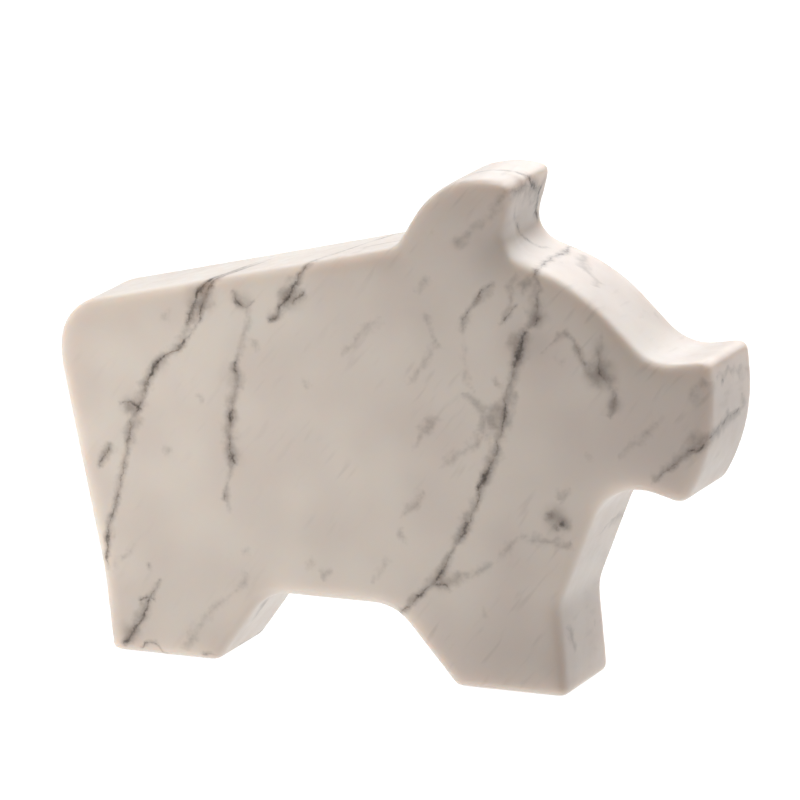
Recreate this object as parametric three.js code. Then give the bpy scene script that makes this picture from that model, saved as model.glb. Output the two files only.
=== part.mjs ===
// A pig carved from one marble slab, as a paperweight.
// Millimetres. +X points to the snout, +Z up, and the feet stand on z = 0.
// The slab's two broad sides face -Y and +Y, and the origin is under its middle.

import * as THREE from "three";
import { mergeVertices } from "three/addons/utils/BufferGeometryUtils.js";

// The block
const LENGTH = 150;
const THICKNESS = 28;

// How far the stone is rubbed round
const EDGE_ROUND = 3;
const FOOT_ROUND = 1.5;
const EAR_TIP_ROUND = 1.2;
const SNOUT_TIP_ROUND = 2;
const CHIN_ROUND = 2.8;

// Fineness of the rounds
const EDGE_STEPS = 6;
const ARC_SAG = 0.03;
const COARSEST_ARC_STEP = THREE.MathUtils.degToRad(12);
const SMALLEST_ROUND = 0.05;
const SAME_POINT = 0.005;

// The colour of the polished stone
const MARBLE_COLOUR = 0xe4dcd3;
const MARBLE_ROUGHNESS = 0.35;

// The pig's own proportions: a share of its length, counted from the rump or up from the feet.
const share = (part) => part * LENGTH;
const degrees = THREE.MathUtils.degToRad;

// Legs and belly
const REAR_HEEL = share(0.08);
const REAR_SOLE = share(0.165);
const FRONT_HEEL = share(0.617);
const FRONT_SOLE = share(0.169);
const BELLY_HEIGHT = share(0.1093);
const GROIN_SLOPE = degrees(55);
const ELBOW_SLOPE = degrees(48.3);
const GROIN_ROUND = share(0.06);
const ELBOW_ROUND = share(0.07);

// Shin, chest and throat
const SHIN_LEAN = degrees(6.1);
const KNEE_HEIGHT = share(0.1325);
const KNEE_ROUND = share(0.067);
const CHEST_LEAN = degrees(20.6);
const THROAT_HEIGHT = share(0.3275);
const THROAT_ROUND = share(0.076);

// Snout and bridge of the nose
const CHIN_BACK = share(0.0425);
const CHIN_HEIGHT = share(0.2973);
const SNOUT_SLOPE = degrees(62);
const SNOUT_BULGE_HEIGHT = share(0.387);
const SNOUT_BULGE_ROUND = share(0.267);
const SNOUT_LEAN = degrees(5.2);
const SNOUT_HEIGHT = share(0.508);
const BRIDGE_BACK = share(0.094);
const BRIDGE_HEIGHT = share(0.492);
const BRIDGE_ROUND = share(0.076);

// Brow and ear
const BROW_BACK = share(0.207);
const BROW_HEIGHT = share(0.6003);
const BROW_ROUND = share(0.267);
const EAR_ROOT_BACK = share(0.328);
const EAR_ROOT_HEIGHT = share(0.6373);
const EAR_ROOT_ROUND = share(0.0447);
const EAR_TIP_BACK = share(0.311);
const EAR_TIP_HEIGHT = share(0.736);
const EAR_CROWN_BACK = share(0.414);
const EAR_CROWN_HEIGHT = share(0.7475);
const EAR_CROWN_ROUND = share(0.12);
const EAR_BACK_SLOPE = degrees(60);
const NAPE_ROUND = share(0.02);

// Back and rump
const BACK_SLOPE = degrees(13.7);
const RUMP_HEIGHT = share(0.5047);
const RUMP_ROUND = share(0.07);
const HAUNCH_HEIGHT = share(0.428);
const HAUNCH_ROUND = share(0.133);
const HOCK_BACK = share(0.066);
const HOCK_HEIGHT = share(0.1167);
const HOCK_ROUND = share(0.133);

// A corner of the pig's outline in its length and height, with the radius that rounds it
const corner = (along, up, round) => ({ at: new THREE.Vector2(along, up), round });

// Where a line through one point, rising at an angle, meets a line through another
function meeting(first, firstAngle, second, secondAngle) {
  const way = new THREE.Vector2(Math.cos(firstAngle), Math.sin(firstAngle));
  const other = new THREE.Vector2(Math.cos(secondAngle), Math.sin(secondAngle));
  const between = second.clone().sub(first);
  return first.clone().addScaledVector(way, between.cross(other) / way.cross(other));
}

// The underside, from the rear heel to the front toe
function legCorners() {
  const rearToe = REAR_HEEL + REAR_SOLE;
  const frontToe = FRONT_HEEL + FRONT_SOLE;
  return [
    corner(REAR_HEEL, 0, FOOT_ROUND),
    corner(rearToe, 0, FOOT_ROUND),
    corner(rearToe + BELLY_HEIGHT / Math.tan(GROIN_SLOPE), BELLY_HEIGHT, GROIN_ROUND),
    corner(FRONT_HEEL - BELLY_HEIGHT / Math.tan(ELBOW_SLOPE), BELLY_HEIGHT, ELBOW_ROUND),
    corner(FRONT_HEEL, 0, FOOT_ROUND),
    corner(frontToe, 0, FOOT_ROUND),
  ];
}

// Up the front leg to the throat, from the toe
function chestCorners(toe) {
  const knee = toe - KNEE_HEIGHT * Math.tan(SHIN_LEAN);
  const throat = knee + (THROAT_HEIGHT - KNEE_HEIGHT) * Math.tan(CHEST_LEAN);
  return [
    corner(knee, KNEE_HEIGHT, KNEE_ROUND),
    corner(throat, THROAT_HEIGHT, THROAT_ROUND),
  ];
}

// Round the snout and up the bridge of the nose to the brow
function snoutCorners() {
  const chin = LENGTH - CHIN_BACK;
  const bulge = chin + (SNOUT_BULGE_HEIGHT - CHIN_HEIGHT) / Math.tan(SNOUT_SLOPE);
  const tip = bulge - (SNOUT_HEIGHT - SNOUT_BULGE_HEIGHT) * Math.tan(SNOUT_LEAN);
  return [
    corner(chin, CHIN_HEIGHT, CHIN_ROUND),
    corner(bulge, SNOUT_BULGE_HEIGHT, SNOUT_BULGE_ROUND),
    corner(tip, SNOUT_HEIGHT, SNOUT_TIP_ROUND),
    corner(LENGTH - BRIDGE_BACK, BRIDGE_HEIGHT, BRIDGE_ROUND),
    corner(LENGTH - BROW_BACK, BROW_HEIGHT, BROW_ROUND),
  ];
}

// The ear, and the nape where its back meets the line of the back
function earCorners(rump) {
  const crown = corner(LENGTH - EAR_CROWN_BACK, EAR_CROWN_HEIGHT, EAR_CROWN_ROUND);
  const nape = meeting(crown.at, EAR_BACK_SLOPE, rump, BACK_SLOPE);
  return [
    corner(LENGTH - EAR_ROOT_BACK, EAR_ROOT_HEIGHT, EAR_ROOT_ROUND),
    corner(LENGTH - EAR_TIP_BACK, EAR_TIP_HEIGHT, EAR_TIP_ROUND),
    crown,
    corner(nape.x, nape.y, NAPE_ROUND),
  ];
}

// Down the rump to the hock
function rumpCorners(rump) {
  return [
    corner(rump.x, rump.y, RUMP_ROUND),
    corner(rump.x, HAUNCH_HEIGHT, HAUNCH_ROUND),
    corner(HOCK_BACK, HOCK_HEIGHT, HOCK_ROUND),
  ];
}

// Every corner in turn, seen with the snout to the right and going round leftwards at the top
function pigCorners() {
  const rump = new THREE.Vector2(0, RUMP_HEIGHT);
  return [
    ...legCorners(),
    ...chestCorners(FRONT_HEEL + FRONT_SOLE),
    ...snoutCorners(),
    ...earCorners(rump),
    ...rumpCorners(rump),
  ];
}

// The length that a corner's round takes from each of its two sides, the rubbed edge included
const taken = ({ turn, round, reach }) => (turn > 0 ? Math.max(round, EDGE_ROUND) : round) * reach;

// Each corner with the way into it, its turn and the steps round it, its round kept within its sides
function measured(corners) {
  const count = corners.length;
  const turned = corners.map(({ at, round }, i) => {
    const into = at.clone().sub(corners[(i + count - 1) % count].at);
    const out = corners[(i + 1) % count].at.clone().sub(at);
    const turn = Math.atan2(into.cross(out), into.dot(out));
    const reach = Math.tan(Math.abs(turn) / 2);
    return { at, round, turn, reach, side: out.length(), into: into.normalize() };
  });
  return turned.map((here, i) => {
    const before = turned[(i + count - 1) % count];
    const after = turned[(i + 1) % count];
    const roomBefore = before.side / (taken(before) + taken(here));
    const roomAfter = here.side / (taken(here) + taken(after));
    const round = here.round * Math.min(1, roomBefore, roomAfter);
    const finest = 2 * Math.acos(1 - Math.min(1, ARC_SAG / Math.max(round, EDGE_ROUND)));
    const steps = Math.ceil(Math.abs(here.turn) / Math.min(finest, COARSEST_ARC_STEP));
    return { ...here, round, steps };
  });
}

// The outline drawn in by one distance, with as many points whatever the distance
function outlineInset(corners, inset) {
  return corners.flatMap(({ at, round, turn, reach, into, steps }) => {
    const leftward = Math.sign(turn);
    const inward = new THREE.Vector2(-into.y, into.x);
    const radius = round - leftward * inset;
    const moved = at.clone().addScaledVector(inward, inset);
    moved.addScaledVector(into, -leftward * inset * reach);
    if (radius < SMALLEST_ROUND) return Array(steps + 1).fill(moved);
    const start = moved.addScaledVector(into, -radius * reach);
    const centre = start.clone().addScaledVector(inward, leftward * radius);
    return Array.from({ length: steps + 1 }, (_, k) =>
      start.clone().rotateAround(centre, (turn * k) / steps),
    );
  });
}

// The rings of points from one broad side to the other, rounding both edges
function sectionRings(corners) {
  const edge = Math.min(EDGE_ROUND, THICKNESS / 2);
  const flank = THICKNESS / 2 - edge;
  const quarter = Array.from({ length: EDGE_STEPS + 1 }, (_, k) => (k * Math.PI) / 2 / EDGE_STEPS);
  const nearHalf = quarter.map((angle) => ({
    inset: edge * (1 - Math.sin(angle)),
    across: -flank - edge * Math.cos(angle),
  }));
  const farHalf = nearHalf.toReversed().map(({ inset, across }) => ({ inset, across: -across }));
  return [...nearHalf, ...farHalf].map(({ inset, across }) =>
    outlineInset(corners, inset).map((p) => new THREE.Vector3(p.x, across, p.y)),
  );
}

// A closed solid over the rings, capped flat at both broad sides
function loftedSolid(rings) {
  const ringSize = rings[0].length;
  const triangles = [];
  for (let r = 0; r < rings.length - 1; r += 1) {
    for (let i = 0; i < ringSize; i += 1) {
      const next = (i + 1) % ringSize;
      triangles.push([rings[r][i], rings[r + 1][next], rings[r][next]]);
      triangles.push([rings[r][i], rings[r + 1][i], rings[r + 1][next]]);
    }
  }
  triangles.push(...cap(rings[0], false), ...cap(rings.at(-1), true));
  const positions = triangles.flat().flatMap((p) => p.toArray());
  const loose = new THREE.BufferGeometry();
  loose.setAttribute("position", new THREE.Float32BufferAttribute(positions, 3));
  return withoutSlivers(mergeVertices(loose, SAME_POINT));
}

// The flat face over one ring
function cap(ring, reversed) {
  const distinct = ring.filter((p, i) => p.distanceTo(ring[(i + 1) % ring.length]) > SAME_POINT);
  const flat = distinct.map((p) => new THREE.Vector2(p.x, p.z));
  return THREE.ShapeUtils.triangulateShape(flat, []).map(([a, b, c]) => {
    const corners = [distinct[a], distinct[b], distinct[c]];
    return reversed ? corners.reverse() : corners;
  });
}

// The triangles whose three corners are still three once shared corners are merged
function withoutSlivers(geometry) {
  const index = geometry.index.array;
  const kept = [];
  for (let i = 0; i < index.length; i += 3) {
    const [a, b, c] = [index[i], index[i + 1], index[i + 2]];
    if (a !== b && b !== c && c !== a) kept.push(a, b, c);
  }
  geometry.setIndex(kept);
  geometry.computeVertexNormals();
  return geometry;
}

// The carved pig, centred on its own length
function pig() {
  const geometry = loftedSolid(sectionRings(measured(pigCorners())));
  geometry.computeBoundingBox();
  const middle = geometry.boundingBox.getCenter(new THREE.Vector3());
  geometry.translate(-middle.x, 0, 0);
  const stone = new THREE.MeshStandardMaterial({
    color: MARBLE_COLOUR,
    roughness: MARBLE_ROUGHNESS,
    metalness: 0,
  });
  const mesh = new THREE.Mesh(geometry, stone);
  mesh.name = "pig";
  return mesh;
}

const paperweight = new THREE.Group();
paperweight.add(pig());

export default paperweight;
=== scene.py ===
# %% [markdown]
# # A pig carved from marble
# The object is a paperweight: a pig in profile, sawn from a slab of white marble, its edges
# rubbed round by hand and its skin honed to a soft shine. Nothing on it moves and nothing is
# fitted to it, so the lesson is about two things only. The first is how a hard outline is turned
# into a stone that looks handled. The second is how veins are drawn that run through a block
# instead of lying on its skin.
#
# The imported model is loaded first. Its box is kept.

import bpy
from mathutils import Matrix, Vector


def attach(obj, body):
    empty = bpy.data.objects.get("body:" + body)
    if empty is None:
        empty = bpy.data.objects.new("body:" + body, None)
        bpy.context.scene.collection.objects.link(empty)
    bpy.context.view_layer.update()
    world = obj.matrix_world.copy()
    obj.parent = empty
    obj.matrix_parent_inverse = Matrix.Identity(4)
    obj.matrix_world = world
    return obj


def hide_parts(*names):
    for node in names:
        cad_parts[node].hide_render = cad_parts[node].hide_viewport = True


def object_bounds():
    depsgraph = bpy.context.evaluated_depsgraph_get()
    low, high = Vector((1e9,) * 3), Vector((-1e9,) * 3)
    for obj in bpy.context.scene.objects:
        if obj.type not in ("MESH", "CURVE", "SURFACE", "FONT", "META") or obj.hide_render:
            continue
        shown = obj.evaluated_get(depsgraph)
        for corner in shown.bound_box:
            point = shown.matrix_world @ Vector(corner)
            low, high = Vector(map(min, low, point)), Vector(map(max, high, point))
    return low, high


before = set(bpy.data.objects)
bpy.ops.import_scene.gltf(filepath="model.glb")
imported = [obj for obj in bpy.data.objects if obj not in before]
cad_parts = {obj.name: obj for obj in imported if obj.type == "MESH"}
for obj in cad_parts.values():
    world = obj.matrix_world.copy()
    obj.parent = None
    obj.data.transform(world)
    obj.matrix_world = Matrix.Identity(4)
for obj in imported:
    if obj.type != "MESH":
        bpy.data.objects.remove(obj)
cad_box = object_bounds()
print("nodes:", sorted(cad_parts))

# %% Blender's modules, and the millimetre
import math

import bmesh
import bpy
import numpy as np
from mathutils import Vector, kdtree, noise

MM = 0.001

# %% [markdown]
# ## The camera
# The pig was photographed from a little above and a little to its front, from far away: the
# parallel edges across the slab hardly converge. A long lens placed well back gives the same
# view. Its place is worked out from two angles and a distance, because those can be read and
# changed, where three coordinates and three turns can't.

# %% Place the camera
VIEW_AZIMUTH = math.radians(22.15)
VIEW_ELEVATION = math.radians(13.4)
VIEW_DISTANCE = 1784 * MM
VIEW_CENTRE = Vector((-0.6, 0.0, 58.6)) * MM
LENS_MM = 375
SENSOR_MM = 36


def direction_to(azimuth, elevation):
    """The direction from the pig to a camera or lamp that stands at these angles."""
    level = math.cos(elevation)
    return Vector((math.sin(azimuth) * level, -math.cos(azimuth) * level, math.sin(elevation)))


def make_camera():
    """A long lens that looks at the middle of the pig from its own angles."""
    lens = bpy.data.cameras.new("camera")
    lens.lens = LENS_MM
    lens.sensor_width = SENSOR_MM
    camera = bpy.data.objects.new("camera", lens)
    way = direction_to(VIEW_AZIMUTH, VIEW_ELEVATION)
    camera.location = VIEW_CENTRE + way * VIEW_DISTANCE
    camera.rotation_euler = way.to_track_quat("Z", "Y").to_euler()
    bpy.context.collection.objects.link(camera)
    bpy.context.scene.camera = camera
    return camera


camera = make_camera()
print("camera at", [round(value, 3) for value in camera.location])

# %% [markdown]
# ## A white table and soft light
# The pig stands on white, and its near side is the darkest thing in the picture, so most of the
# light comes from the table around it and from behind. A polished top that is seen at a low angle
# mirrors what stands behind it: with a dark room there the back of the pig would look dull, with
# one bright line along its edge. Two broad panels behind, one low and one high, and a weaker one
# at the rear left give it something white to mirror. A lamp above lights it evenly. A narrow soft
# beam from the left gives the long fade from rump to cheek. That beam lights the stone but isn't
# mirrored in it, because its reflection would draw a bright crescent on the round corner of the
# rump.

# %% Helpers for materials
def add_node(tree, kind, **settings):
    """A new node of this kind with its settings made."""
    made = tree.nodes.new(kind)
    for name, value in settings.items():
        setattr(made, name, value)
    return made


def feed(tree, socket, value):
    """Gives a socket a number, a colour or another node's result."""
    if isinstance(value, bpy.types.NodeSocket):
        tree.links.new(value, socket)
    else:
        socket.default_value = value


def new_material(name):
    """A new material with its tree of nodes and its shader."""
    material = bpy.data.materials.new(name)
    material.use_nodes = True
    return material, material.node_tree, material.node_tree.nodes["Principled BSDF"]


# %% The table and the room
TABLE_SIZE = 8.0
TABLE_WHITE = (0.08, 0.08, 0.08, 1)
TABLE_GLOW = 0.98
TABLE_ROUGHNESS = 0.8
ROOM_WHITE = (1.0, 0.985, 0.97, 1)
ROOM_STRENGTH = 0.02


def make_table():
    """A plain table that glows a little, as an overexposed studio table does."""
    form = bmesh.new()
    bmesh.ops.create_grid(form, x_segments=1, y_segments=1, size=TABLE_SIZE / 2)
    mesh = bpy.data.meshes.new("table")
    form.to_mesh(mesh)
    form.free()
    table = bpy.data.objects.new("table", mesh)
    bpy.context.collection.objects.link(table)
    material, tree, shader = new_material("white_table")
    shader.inputs["Base Color"].default_value = TABLE_WHITE
    shader.inputs["Roughness"].default_value = TABLE_ROUGHNESS
    shader.inputs["Emission Color"].default_value = (1, 1, 1, 1)
    shader.inputs["Emission Strength"].default_value = TABLE_GLOW
    mesh.materials.append(material)
    return table


def make_room():
    """A nearly dark room, so that only the table and the lamps light the pig."""
    world = bpy.data.worlds.new("room")
    world.use_nodes = True
    background = world.node_tree.nodes["Background"]
    background.inputs["Color"].default_value = ROOM_WHITE
    background.inputs["Strength"].default_value = ROOM_STRENGTH
    bpy.context.scene.world = world


make_table()
make_room()
bpy.context.scene.view_settings.view_transform = "Standard"
print("table", TABLE_SIZE, "m wide")

# %% The lamps
WHITE_PANEL = (0.98, 0.985, 1.0)
WARM_BEAM = (1.0, 0.99, 0.975)
EVERY_WAY = 180
PIG_MIDDLE = (0, 0, 58)
LAMPS = {
    "panel_low": {"azimuth": 190, "elevation": 22, "wide": 1.4, "high": 0.6, "watts": 3.0},
    "panel_high": {"azimuth": 175, "elevation": 38, "wide": 1.2, "high": 0.7, "watts": 5.0},
    "panel_rear_left": {"azimuth": 255, "elevation": 20, "wide": 0.9, "high": 0.8, "watts": 2.0},
    "lamp_above": {
        "azimuth": 150, "elevation": 74, "distance": 0.9, "wide": 0.9, "high": 0.9, "watts": 9.0,
    },
    "beam_left": {
        "azimuth": -45, "elevation": 8, "distance": 0.7, "aim": (-42, 0, 52), "wide": 0.06,
        "high": 0.12, "spread": 19, "watts": 0.043, "colour": WARM_BEAM, "mirrored": False,
    },
}


def make_lamp(
    name, azimuth, elevation, wide, high, watts, distance=1.0, aim=PIG_MIDDLE,
    spread=EVERY_WAY, colour=WHITE_PANEL, mirrored=True,
):
    """A soft lamp that stands at these angles and faces a place given in millimetres."""
    light = bpy.data.lights.new(name, "AREA")
    light.shape = "RECTANGLE"
    light.size = wide
    light.size_y = high
    light.spread = math.radians(spread)
    light.energy = watts
    light.color = colour
    lamp = bpy.data.objects.new(name, light)
    way = direction_to(math.radians(azimuth), math.radians(elevation))
    lamp.location = Vector(aim) * MM + way * distance
    lamp.rotation_euler = way.to_track_quat("Z", "Y").to_euler()
    lamp.visible_camera = False
    lamp.visible_glossy = mirrored
    bpy.context.collection.objects.link(lamp)
    return lamp


for lamp_name, lamp_values in LAMPS.items():
    make_lamp(lamp_name, **lamp_values)
print("lamps:", ", ".join(LAMPS))

# %% [markdown]
# ## The stone's form
# The solid model already has the true outline, with round edges. What it lacks is what a hand
# does with wet abrasive paper: the edges are never equally round, small corners are softer than
# drawn, and broad faces swell and dip by a hair, which only shows in the way light slides over
# them. A copy of the solid is therefore wrapped in a fine even skin with a voxel remesh, smoothed
# a few times, and moved in and out by a slow noise.
#
# Stone wears most where fingers meet it: at the ear, the brow, the snout and the rump. There the
# broad faces fall away towards their edges by up to two millimetres, and by little elsewhere. The
# ear is thin and stands up, so its tip and its near edge are rubbed roundest of all. The soles
# were ground flat last, so they stay exactly on the table.

# %% Wrap a copy of the solid in a fine skin
SKIN_GRID = 0.68 * MM
SMOOTHING_ROUNDS = 4
MERGE_DISTANCE = 0.004 * MM


def merged_copy(node_name, name):
    """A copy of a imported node's mesh with its shared corners joined."""
    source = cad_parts[node_name]
    form = bmesh.new()
    form.from_mesh(source.data)
    form.transform(source.matrix_world)
    bmesh.ops.remove_doubles(form, verts=form.verts, dist=MERGE_DISTANCE)
    mesh = bpy.data.meshes.new(name)
    form.to_mesh(mesh)
    form.free()
    copy = bpy.data.objects.new(name, mesh)
    bpy.context.collection.objects.link(copy)
    return copy


def apply_modifiers(piece):
    """Makes what the modifiers show the piece's own mesh."""
    view = bpy.context.evaluated_depsgraph_get()
    shown = bpy.data.meshes.new_from_object(piece.evaluated_get(view), depsgraph=view)
    piece.modifiers.clear()
    piece.data = shown


def wrap_in_skin(piece):
    """Swaps the long thin faces of the solid for small even ones."""
    wrap = piece.modifiers.new("skin", "REMESH")
    wrap.mode = "VOXEL"
    wrap.voxel_size = SKIN_GRID
    apply_modifiers(piece)


pig = merged_copy("pig", "marble_pig")
wrap_in_skin(pig)
print("skin faces:", len(pig.data.polygons))

# %% Where hands have rubbed the edges most
WORN_EVERYWHERE = 0.2
WORN_REACH = 5.0
NARROW_FACE = 0.35
SOLE_BLEND = 2.5 * MM

# Each is a place seen from the side, how far away half the wear is left, and the most wear, in mm.
WORN_PLACES = {
    "ear": ((17, 101), 16, 1.7),
    "brow": ((38, 91), 12, 0.9),
    "bridge": ((53, 77), 12, 0.9),
    "snout": ((70, 74), 11, 0.8),
    "chin": ((64, 48), 12, 0.6),
    "chest": ((49, 40), 12, 0.5),
    "rump": ((-69, 79), 16, 0.9),
    "groin": ((-29, 21), 10, 0.5),
    "armpit": ((8, 20), 10, 0.4),
}


def above_table(place):
    """Nothing at the soles and one a little above them, so that the soles stay flat."""
    return min(max(place.z / SOLE_BLEND, 0.0), 1.0)


def eased(share):
    """A share from nothing to one that starts and ends gently."""
    return share * share * (3 - 2 * share)


def fading(distance, reach):
    """One at the middle of a place, falling smoothly to nothing at its reach."""
    return eased(max(0.0, 1 - distance / reach))


def worn_depth(place):
    """How deep the edge beside a broad face is rubbed off, in millimetres."""
    depth = WORN_EVERYWHERE
    for (x, z), reach, most in WORN_PLACES.values():
        away = math.hypot(place.x / MM - x, place.z / MM - z)
        depth = max(depth, most * fading(away, 2 * reach))
    return depth


def rim_of(form):
    """A search tree of the places on the pig's narrow faces, seen from the side."""
    rim = [corner.co for corner in form.verts if abs(corner.normal.y) < NARROW_FACE]
    tree = kdtree.KDTree(len(rim))
    for index, place in enumerate(rim):
        tree.insert((place.x, 0, place.z), index)
    tree.balance()
    return tree


def wear_edges(form):
    """Lets the two broad faces fall away softly towards their edges."""
    tree = rim_of(form)
    for corner in form.verts:
        to_rim = tree.find((corner.co.x, 0, corner.co.z))[2] / MM
        fall = math.exp(-((to_rim / WORN_REACH) ** 2))
        depth = worn_depth(corner.co) * fall * above_table(corner.co) * MM
        corner.co.y -= depth * corner.normal.y


print("worn most at:", ", ".join(WORN_PLACES))

# %% Rub the skin smooth and uneven
HALF_WAY = 0.5
SWELL_DEPTH = 0.10 * MM
SWELL_LENGTH = 26 * MM
RIPPLE_DEPTH = 0.03 * MM
RIPPLE_LENGTH = 7 * MM
EAR_TIP = Vector((29, 0, 108)) * MM
EAR_REACH = 12 * MM
EAR_ROUNDS = 10
EAR_LIFT = Vector((1.0, 0, 0.2)) * MM
EAR_MIDDLE = Vector((21, 0, 103)) * MM
EAR_NEAR_HALF = -4 * MM
EAR_NEAR_REACHES_MM = (21, 19, 17, 15, 13, 11)
EAR_NEAR_ROUNDS = 5


def smooth_corners(form, corners, rounds):
    """Moves each corner half way to the middle of its neighbours, this many times."""
    for _ in range(rounds):
        bmesh.ops.smooth_vert(
            form, verts=corners, factor=HALF_WAY, use_axis_x=True, use_axis_y=True, use_axis_z=True
        )


def away_from(corner, middle):
    """How far a corner is from a place, seen from the side."""
    return math.hypot(corner.co.x - middle.x, corner.co.z - middle.z)


def soften_ear(form):
    """The ear's tip is rubbed rounder than the rest, and then put back in its place."""
    tip = [corner for corner in form.verts if away_from(corner, EAR_TIP) < EAR_REACH]
    smooth_corners(form, tip, EAR_ROUNDS)
    for corner in tip:
        corner.co += EAR_LIFT * fading(away_from(corner, EAR_TIP), EAR_REACH)


def soften_near_ear(form):
    """The near edge of the ear is rubbed roundest of all, less and less away from its middle."""
    near = [corner for corner in form.verts if corner.co.y < EAR_NEAR_HALF]
    for reach in EAR_NEAR_REACHES_MM:
        rubbed = [corner for corner in near if away_from(corner, EAR_MIDDLE) < reach * MM]
        smooth_corners(form, rubbed, EAR_NEAR_ROUNDS)


def rubbing(place):
    """How far the hand's work moves the skin in or out at a place."""
    swell = noise.noise(place / SWELL_LENGTH) * SWELL_DEPTH
    ripple = noise.noise(place / RIPPLE_LENGTH) * RIPPLE_DEPTH
    return (swell + ripple) * above_table(place)


def rub(piece):
    """Smooths the skin, wears its edges and ear, and makes its faces a little uneven."""
    form = bmesh.new()
    form.from_mesh(piece.data)
    smooth_corners(form, form.verts, SMOOTHING_ROUNDS)
    soften_ear(form)
    form.normal_update()
    wear_edges(form)
    soften_near_ear(form)
    smooth_corners(form, form.verts, 1)
    form.normal_update()
    moves = [(corner, corner.normal * rubbing(corner.co)) for corner in form.verts]
    for corner, move in moves:
        corner.co += move
        corner.co.z = max(corner.co.z, 0.0)
    for face in form.faces:
        face.smooth = True
    form.to_mesh(piece.data)
    form.free()


rub(pig)
print("rubbed", len(pig.data.vertices), "points")

# %% [markdown]
# ## The marble
# White marble is calcite, which lets light in and sends it back a few millimetres away. That
# glow softens the shading and lights the thin edges, so the shader scatters light under the skin
# instead of adding a bright rim.
#
# Its veins are thin sheets of darker minerals that were squeezed into cracks, and a saw cuts
# through them. That is why a vein runs over an edge of the pig and comes out on the other side.
# So each vein is made as a sheet too. Its course is a short list of places on the near side,
# each with the vein's half width there, and a direction says how the sheet leans on its way
# through the stone. A half width below zero breaks the vein off for a stretch, because a real
# vein comes and goes. A dark spot is a small ball, and a stain is a wider ball that fades to
# nothing. Everything is in millimetres, and one question is asked at every place: how far is it
# to the nearest sheet or ball?
#
# Straight sheets would look drawn with a ruler, so the whole block is bent a little by a slow
# noise, and a vein's places are bent with it: the vein still passes where it should. The noise
# gets a fixed seed, or else every run would bend the stone another way.

# %% Small node helpers
def math_node(tree, operation, *values):
    """The result of a sum with numbers or other nodes' results."""
    made = add_node(tree, "ShaderNodeMath", operation=operation)
    for socket, value in zip(made.inputs, values):
        feed(tree, socket, value)
    return made.outputs["Value"]


def vector_node(tree, operation, *values, result="Vector"):
    """The same for places and directions. A distance or a dot product is its Value."""
    made = add_node(tree, "ShaderNodeVectorMath", operation=operation)
    for socket, value in zip(made.inputs, values):
        feed(tree, socket, value)
    return made.outputs[result]


def scaled(tree, vector, factor):
    """A vector made longer or shorter."""
    made = add_node(tree, "ShaderNodeVectorMath", operation="SCALE")
    feed(tree, made.inputs["Vector"], vector)
    feed(tree, made.inputs["Scale"], factor)
    return made.outputs["Vector"]


def noise_node(tree, place, grain, detail=2.0, roughness=0.5):
    """A noise whose lumps are about this many millimetres apart."""
    made = add_node(tree, "ShaderNodeTexNoise")
    feed(tree, made.inputs["Vector"], place)
    made.inputs["Scale"].default_value = 1 / grain
    made.inputs["Detail"].default_value = detail
    made.inputs["Roughness"].default_value = roughness
    return made


def ramp(tree, value, start, end, low=0.0, high=1.0):
    """Goes smoothly from low to high while the value goes from start to end."""
    made = add_node(tree, "ShaderNodeMapRange", interpolation_type="SMOOTHSTEP")
    for socket, number in zip(made.inputs, (value, start, end, low, high)):
        feed(tree, socket, number)
    return made.outputs["Result"]


def mixed(tree, share, first, second):
    """Two colours mixed. A mix node's colours are its sockets 6 and 7, and their result is 2."""
    made = add_node(tree, "ShaderNodeMix", data_type="RGBA")
    feed(tree, made.inputs[0], share)
    feed(tree, made.inputs[6], first)
    feed(tree, made.inputs[7], second)
    return made.outputs[2]


def curve_node(tree, value, pairs):
    """A smooth curve through pairs of numbers, level beyond both ends."""
    made = add_node(tree, "ShaderNodeFloatCurve")
    feed(tree, made.inputs["Value"], value)
    mapping = made.mapping
    mapping.use_clip = False
    mapping.extend = "HORIZONTAL"
    points = mapping.curves[0].points
    points[0].location = pairs[0]
    points[1].location = pairs[-1]
    for pair in pairs[1:-1]:
        points.new(*pair)
    for point in points:
        point.handle_type = "AUTO_CLAMPED"
    mapping.update()
    return made.outputs["Value"]


# %% The courses of the veins
NEAR_SIDE = cad_box[0][1] / MM

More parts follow.
